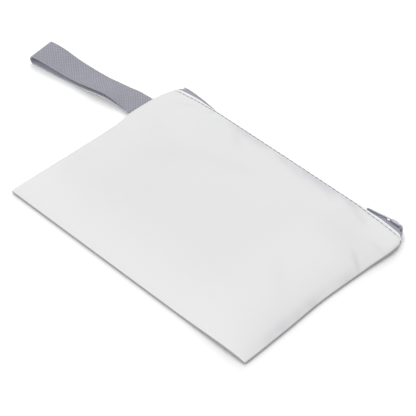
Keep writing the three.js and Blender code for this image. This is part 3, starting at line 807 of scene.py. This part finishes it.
def back_panel():
    """The panel that the pouch lies on, flat, with its own folded hem under the zip."""
    columns = across_columns(2.6)
    body = graded(BACK_BODY, EDGE_STEP, 2.8, 0.5)
    ups = [p / body[-1] for p in body]

    def folded_in(distance):
        """How far the panel's edge is folded in from the top panel's."""
        return SEAM_STEP * (1 - ease(distance, 0, SEAM_FOLD))

    def place(column, row):
        across = columns[column]
        side = side_of(across)
        closed = SEAM_STACK / 2 - SEAM_SLIT
        stitch_y = mouth_at(across)["under_y"] - RIM
        if row < len(ups):
            y = lerp(seam_y(across), stitch_y, ups[row])
            x = across_x(across, y)
            from_side = in_from_side(across, x, y)
            from_seam = y - seam_y(across)
            rolled = roll(from_side) * roll(from_seam)
            groove = math.exp(-(((stitch_y - y) / GROOVE_WIDTH) ** 2))
            z = lerp(closed, FLOOR_GAP + BACK_GROOVE * groove, rolled)
            x -= side * folded_in(from_side)
            y += folded_in(from_seam)
            return (x, y, z), (x, body[row]), min(from_side, from_seam), 0.0
        step = row - len(ups)
        fold_y = mouth_at(across)["under_y"] - CLOTH / 2
        if step <= BACK_TURNS:
            angle = math.pi * step / BACK_TURNS
            y = fold_y + CLOTH / 2 * math.sin(angle)
            z = FLOOR_GAP + CLOTH / 2 * (1 - math.cos(angle))
        else:
            y = fold_y - (step - BACK_TURNS) * BACK_RETURN
            z = FLOOR_GAP + CLOTH
        x = across_x(across, y)
        from_side = in_from_side(across, x, y)
        z = lerp(closed + BACK_LAYER * step, z, ease(from_side, 0, BACK_CLOSE))
        x -= side * folded_in(from_side)
        return (x, y, z), (x, body[-1] + 1 + step * BACK_CLOTH), UNSEEN, 0.0

    rows = len(ups) + BACK_TURNS + 1 + BACK_RETURNS
    piece = cloth_grid("back_cloth", len(columns), rows, place, WHITE, flip=True)
    return thicken(piece, FABRIC)


def hem_stitches(name, line, inwards):
    """A row of lockstitches along a hem. line gives the middle of a stitch at a place across."""
    bm = bmesh.new()
    count = int((LENGTH - STITCH_FREE) / STITCH_PITCH)
    for i in range(count):
        across = ((i + 0.5) / count * 2 - 1) * STITCH_SPAN
        here, ahead = line(across), line(across + 0.004)
        made = bmesh.ops.create_uvsphere(bm, u_segments=8, v_segments=6, radius=THREAD * MM)
        along = (ahead - here).normalized()
        turn = along.to_track_quat("X", "Z").to_matrix()
        slant = STITCH_SLANT * math.sin(i * 2.4)
        for vert in made["verts"]:
            fuller = math.sqrt(1 + (vert.co.x / (THREAD * MM)) ** 2)
            vert.co.y *= fuller
            vert.co.z *= fuller
            vert.co.x *= STITCH_LENGTH / THREAD / 2
            bend = (vert.co.x / (STITCH_LENGTH * MM / 2)) ** 2
            vert.co.z = vert.co.z * THREAD_FLAT - inwards * bend * STITCH_DIVE * MM
            vert.co.y += slant * vert.co.x
            vert.co = turn @ vert.co + here * MM
    return finished(bm, name, SEWING)


def top_stitch_line(across):
    point = top_point(across, 1.0)
    return point + Vector((0, 0, STITCH_LIFT))


def back_stitch_line(across):
    y = mouth_at(across)["under_y"] - RIM
    return Vector((across_x(across, y), y, BACK_STITCH_Z))


def rounded_line(points, step, passes):
    """A line through points in the YZ plane, cut into equal steps and smoothed at its corners."""
    lengths = [0.0]
    for a, b in zip(points, points[1:]):
        lengths.append(lengths[-1] + (b - a).length)
    count = max(8, round(lengths[-1] / step))
    line = []
    for i in range(count + 1):
        at = lengths[-1] * i / count
        j = next((k for k in range(len(points) - 2) if lengths[k + 1] >= at), len(points) - 2)
        share = (at - lengths[j]) / max(lengths[j + 1] - lengths[j], 1e-6)
        line.append(points[j].lerp(points[j + 1], share))
    for _ in range(passes):
        middle = [(a + 2 * b + c) / 4 for a, b, c in zip(line, line[1:], line[2:])]
        line = [line[0], *middle, line[-1]]
    return line


@functools.lru_cache(maxsize=None)
def upper_tape_line(across):
    mouth = mouth_at(across)
    cover = 2 * FABRIC + GAP
    stitch, tilt = mouth["stitch"], mouth["tilt"]
    edge = hem_path(across)[HEM_ROWS - 1]
    inner_y = stitch.x - TAPE_TUCK
    up = (inner_y - seam_y(across)) / (stitch.x - seam_y(across))
    points = [
        Vector((inner_y, top_point(across, up).z - cover - 0.5)),
        stitch + down(0.3 * tilt + math.pi / 2, cover + 0.25),
        edge + down(tilt + math.pi / 2, cover + 0.1),
        Vector((mouth["face_y"], mouth["coil_z"] + BEND_UP)),
        Vector((mouth["face_y"], mouth["coil_z"] + TAPE_MEET)),
    ]
    return rounded_line(points, (TAPE_TUCK + UPPER_DROP) / TAPE_STEPS, 3)


@functools.lru_cache(maxsize=None)
def lower_tape_line(across):
    mouth = mouth_at(across)
    under_y = mouth["under_y"]
    floor = CLOTH + GAP
    points = [
        Vector((under_y - RIM - TAPE_TUCK, floor)),
        Vector((under_y + TAPE_EASE, floor)),
        Vector((mouth["face_y"], mouth["coil_z"] - BEND_DOWN)),
        Vector((mouth["face_y"], mouth["coil_z"] - TAPE_MEET)),
    ]
    return rounded_line(points, (TAPE_TUCK + LOWER_RISE) / TAPE_STEPS, 3)


def tape(name, line_at, other_at, flip):
    """One zip tape, from under its hem to the slit behind the coil, pressed flat at both ends."""
    end = 1 - TAPE_INSET / HALF
    columns = [a for a in across_columns(1.6) if -end <= a <= end]

    def place(column, row):
        across = columns[column]
        line, other = line_at(across), other_at(across)
        share = row / TAPE_STEPS
        pressed = 1 - ease((end - abs(across)) * HALF, 0, TAPE_PRESS)
        middle = ((line[0] + other[0]) / 2).lerp((line[-1] + other[-1]) / 2, share)
        apart = TAPE_APART if line[0].y > other[0].y else -TAPE_APART
        past_hem = clamp((share - TAPE_COVERED) / (1 - TAPE_COVERED))
        arched = middle + Vector((0, apart + TAPE_ARCH * math.sin(math.pi * past_hem)))
        y, z = sample(line, share).lerp(arched, pressed)
        return (across_x(across, y), y, z), (across * HALF, row * 0.6)

    piece = cloth_grid(name, len(columns), TAPE_STEPS + 1, place, ZIP_TAPE, flip=flip)
    return thicken(piece, TAPE_WALL)


def sample(line, share):
    """A point of a line at a share of its points."""
    at = share * (len(line) - 1)
    i = min(int(at), len(line) - 2)
    return line[i].lerp(line[i + 1], at - i)


def coil(name, side):
    """One half of the zip's coil: a flattened spiral of nylon along its tape."""
    end = (HALF - SLIDER_INSET - COIL_HOLD) / across_x(1, MID)
    start = COIL_INSET / HALF - 1
    points = []
    per_turn = 12
    turns = round((end - start) * HALF / COIL_PITCH)
    half_wide = COIL_WIDTH / 4 - COIL_WIRE + COIL_MESH
    half_thick = COIL_THICK / 2 - COIL_WIRE
    for i in range(turns * per_turn + 1):
        across = lerp(start, end, i / (turns * per_turn))
        mouth = mouth_at(across)
        angle = 2 * math.pi * i / per_turn + (math.pi if side > 0 else 0)
        middle_y = mouth["face_y"] + COIL_GAP + COIL_THICK / 2
        y = middle_y + half_thick * math.sin(angle)
        z = mouth["coil_z"] + side * (COIL_WIDTH / 4 - COIL_MESH) + half_wide * math.cos(angle)
        points.append(Vector((across_x(across, mouth["face_y"]), y, z)))
    return wire(name, points, COIL_WIRE, NYLON)


def wire(name, points, radius, material):
    """A round wire along points, as a mesh."""
    curve = bpy.data.curves.new(name, "CURVE")
    curve.dimensions = "3D"
    curve.bevel_depth = radius * MM
    curve.bevel_resolution = 1
    curve.use_fill_caps = True
    spline = curve.splines.new("POLY")
    spline.points.add(len(points) - 1)
    for knot, point in zip(spline.points, points):
        knot.co = (*(point * MM), 1)
    bent = bpy.data.objects.new(name + "_line", curve)
    bpy.context.scene.collection.objects.link(bent)
    graph = bpy.context.evaluated_depsgraph_get()
    mesh = bpy.data.meshes.new_from_object(bent.evaluated_get(graph))
    bpy.data.objects.remove(bent)
    mesh.name = name
    mesh.materials.clear()
    mesh.materials.append(material)
    for face in mesh.polygons:
        face.use_smooth = True
    piece = bpy.data.objects.new(name, mesh)
    bpy.context.scene.collection.objects.link(piece)
    return piece


def softened(node, name, width):
    """A CAD node's own solid, enamelled, with its sharp edges rounded."""
    bm = bmesh.new()
    bm.from_mesh(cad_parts[node].data)
    bmesh.ops.remove_doubles(bm, verts=bm.verts, dist=0.00001)
    bmesh.ops.dissolve_limit(bm, angle_limit=math.radians(2), verts=bm.verts, edges=bm.edges)
    paired = [e for e in bm.edges if len(e.link_faces) == 2]
    sharp = [e for e in paired if e.calc_face_angle() > math.radians(40)]
    bmesh.ops.bevel(
        bm,
        geom=sharp,
        offset=width * MM,
        offset_type="OFFSET",
        affect="EDGES",
        segments=2,
        profile=0.5,
        material=-1,
        clamp_overlap=True,
    )
    return finished(bm, name, ENAMEL)


LOOP_SEAM_X = across_x(-1, LOOP_ROOT) - 4 * GAP


def loop_centre(out):
    drift = WEB_WIDTH * follow(LOOP, "out", "side", max(0.0, out))
    return Vector((LOOP_SEAM_X - out * LOOP_REACH, LOOP_ROOT + drift))


def loop_section(out, layer):
    """The near and far edge of one layer of the loop: the middle of the webbing's thickness."""
    way = Vector((-1, 0))
    if out >= 0:
        way = (loop_centre(out + 0.01) - loop_centre(out - 0.01)).normalized()
    middle = loop_centre(out)
    heights = {}
    for edge in ("near", "far"):
        column = edge + ("_low" if layer < 0 else "_top")
        height = LOOP_HEIGHT * follow(LOOP, "out", column, max(0.0, out))
        heights[edge] = height + (WEB / 2 if layer < 0 else -WEB / 2)
    drop = heights["near"] - heights["far"]
    reach = math.sqrt((WEB_WIDTH / 2) ** 2 - (drop / 2) ** 2)
    edges = []
    for edge, sideways in (("near", 1), ("far", -1)):
        x = middle.x - sideways * reach * way.y
        y = middle.y + sideways * reach * way.x
        edges.append(Vector((x, y, heights[edge])))
    return edges


def loop_stations():
    """Pairs of edge points all the way along the webbing: out below, round the end, back on top."""
    tuck = LOOP_TUCK / LOOP_REACH
    turn = LOOP_HEIGHT / 2 / LOOP_REACH
    count = round((1 - turn + tuck) * LOOP_REACH / WEB_STEP)
    outs = [lerp(-tuck, 1 - turn, i / count) for i in range(count + 1)]
    stations = [loop_section(out, -1) for out in outs]
    near, far = stations[-1]
    ahead = (loop_centre(1.0) - loop_centre(0.98)).normalized()
    radius = LOOP_HEIGHT / 2 - WEB / 2
    bends = round(math.pi * radius / WEB_STEP)
    for i in range(1, bends):
        angle = math.pi * i / bends
        out, up = math.sin(angle), 1 - math.cos(angle)
        shift = Vector((ahead.x * out, ahead.y * out, up))
        stations.append([near + shift * radius, far + shift * radius])
    stations += [loop_section(out, 1) for out in reversed(outs)]
    return stations


def wrist_loop():
    """The wrist loop's webbing: one band, its yarn bundles raised over and under each other."""
    stations = loop_stations()
    places = [0.0]
    for a, b in zip(stations, stations[1:]):
        places.append(places[-1] + ((b[0] - a[0]).length + (b[1] - a[1]).length) / 2)

    def place(column, row):
        near, far = stations[column]
        share = row / WEB_ROWS
        return near.lerp(far, share), (places[column], share * WEB_WIDTH)

    piece = cloth_grid("wrist_webbing", len(stations), WEB_ROWS + 1, place, WEBBING)
    mesh = piece.data
    normals = [vert.normal.copy() for vert in mesh.vertices]
    chart = mesh.uv_layers["cloth"].data
    seen = {}
    for corner in mesh.loops:
        seen[corner.vertex_index] = chart[corner.index].uv.copy()
    for vert in mesh.vertices:
        along, aside = seen[vert.index] / MM
        check = math.sin(math.pi * along / RIB) * math.sin(math.pi * aside / RIB)
        edge = ease(min(aside, WEB_WIDTH - aside), 0, SELVEDGE)
        vert.co += normals[vert.index] * (RIB_HEIGHT * check * edge * MM)
    return thicken(piece, WEB - 2 * RIB_HEIGHT, 0.0)


def pieces():
    """Every piece, with the body that it rides on, the nodes that it stands for and its slot."""
    return [
        (top_panel(), "pouch", ["top_panel"], "white_cloth"),
        (back_panel(), "pouch", ["back_panel"], "white_cloth"),
        (hem_stitches("top_hem_stitches", top_stitch_line, 1), "pouch", [], "white_cloth"),
        (hem_stitches("back_hem_stitches", back_stitch_line, -1), "pouch", [], "white_cloth"),
        (
            tape("upper_zip_tape", upper_tape_line, lower_tape_line, flip=False),
            "pouch",
            ["zip_tape_upper"],
            "grey_tape",
        ),
        (
            tape("lower_zip_tape", lower_tape_line, upper_tape_line, flip=True),
            "pouch",
            ["zip_tape_lower"],
            "grey_tape",
        ),
        (coil("upper_coil", 1), "pouch", ["zip_coil"], "grey_coil"),
        (coil("lower_coil", -1), "pouch", ["zip_coil"], "grey_coil"),
        (softened("slider_body", "slider", SLIDER_EDGE), "pouch", ["slider_body"], "grey_enamel"),
        (softened("pull_tab", "pull", PULL_EDGE), "pull", ["pull_tab"], "grey_enamel"),
        (wrist_loop(), "pouch", ["wrist_loop"], "grey_webbing"),
    ]


for piece, body, nodes, slot in pieces():
    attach(piece, body)
    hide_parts(*nodes)


def floor():
    """A plain pale studio floor."""
    finish = Finish("studio_floor")
    finish.set(Base_Color=(0.58, 0.58, 0.58), Roughness=0.9)
    finish.shader.inputs["Specular IOR Level"].default_value = 0.0
    bm = bmesh.new()
    bmesh.ops.create_grid(bm, x_segments=1, y_segments=1, size=6)
    ground = finished(bm, "floor", finish.material)
    return ground


def lamp(name, size, power, place, target):
    """A rectangular soft box that points at a target."""
    light = bpy.data.lights.new(name, "AREA")
    light.shape = "RECTANGLE"
    light.size, light.size_y = size
    light.energy = power
    lit = bpy.data.objects.new(name, light)
    lit.location = place
    lit.rotation_euler = (Vector(target) - Vector(place)).to_track_quat("-Z", "Y").to_euler()
    bpy.context.scene.collection.objects.link(lit)
    return lit


def studio(ground):
    """A white light tent, brightest from low down to halfway up, and one soft box behind.

    Two more soft boxes light the floor alone. The wrist loop casts no shadow in the low one, where
    it would be much too long."""
    world = bpy.data.worlds.new("studio")
    world.use_nodes = True
    room = Nodes(world.node_tree)
    x, y, up = room.parts(room.node("TexCoord", output="Generated"))
    band = room.step(up, 0.12, 0.34) * (1 - room.step(up, 0.56, 0.82))
    glow = (band * TENT_BAND + TENT_TOP) * (1 - x * 0.12 - y * 0.25)
    backdrop = world.node_tree.nodes["Background"]
    backdrop.inputs["Color"].default_value = (1, 1, 1, 1)
    world.node_tree.links.new(glow.socket, backdrop.inputs["Strength"])
    scene = bpy.context.scene
    scene.world = world
    scene.view_settings.view_transform = "Standard"
    middle = (0, 0, 0)
    lamp("behind", (1.8, 0.6), 5, (-0.7, 1.7, 0.8), middle)
    lit_floor = bpy.data.collections.new("lit_floor")
    lit_floor.objects.link(ground)
    low = lamp("low_floor_light", (3.0, 0.7), 100, (-1.8, 1.8, 0.6), middle)
    high = lamp("high_floor_light", (2.6, 2.2), 62, (-1.1, 1.1, 2.0), middle)
    for light in (low, high):
        light.light_linking.receiver_collection = lit_floor
    shading = bpy.data.collections.new("low_light_shading")
    for name in ("top_cloth", "back_cloth", "upper_zip_tape", "lower_zip_tape", "slider"):
        shading.objects.link(bpy.data.objects[name])
    low.light_linking.blocker_collection = shading


def camera():
    """The photograph's own place and lens."""
    level = math.cos(VIEW_RISE)
    back = Vector((math.sin(VIEW_TURN) * level, -math.cos(VIEW_TURN) * level, math.sin(VIEW_RISE)))
    lens = bpy.data.cameras.new("camera")
    lens.sensor_width = SENSOR_WIDTH
    lens.lens = FOCAL_LENGTH
    seen = bpy.data.objects.new("camera", lens)
    seen.location = Vector(VIEW_TARGET) + back * VIEW_AWAY
    seen.rotation_euler = Euler((math.pi / 2 - VIEW_RISE, 0, VIEW_TURN))
    bpy.context.scene.collection.objects.link(seen)
    bpy.context.scene.camera = seen


studio(floor())
camera()
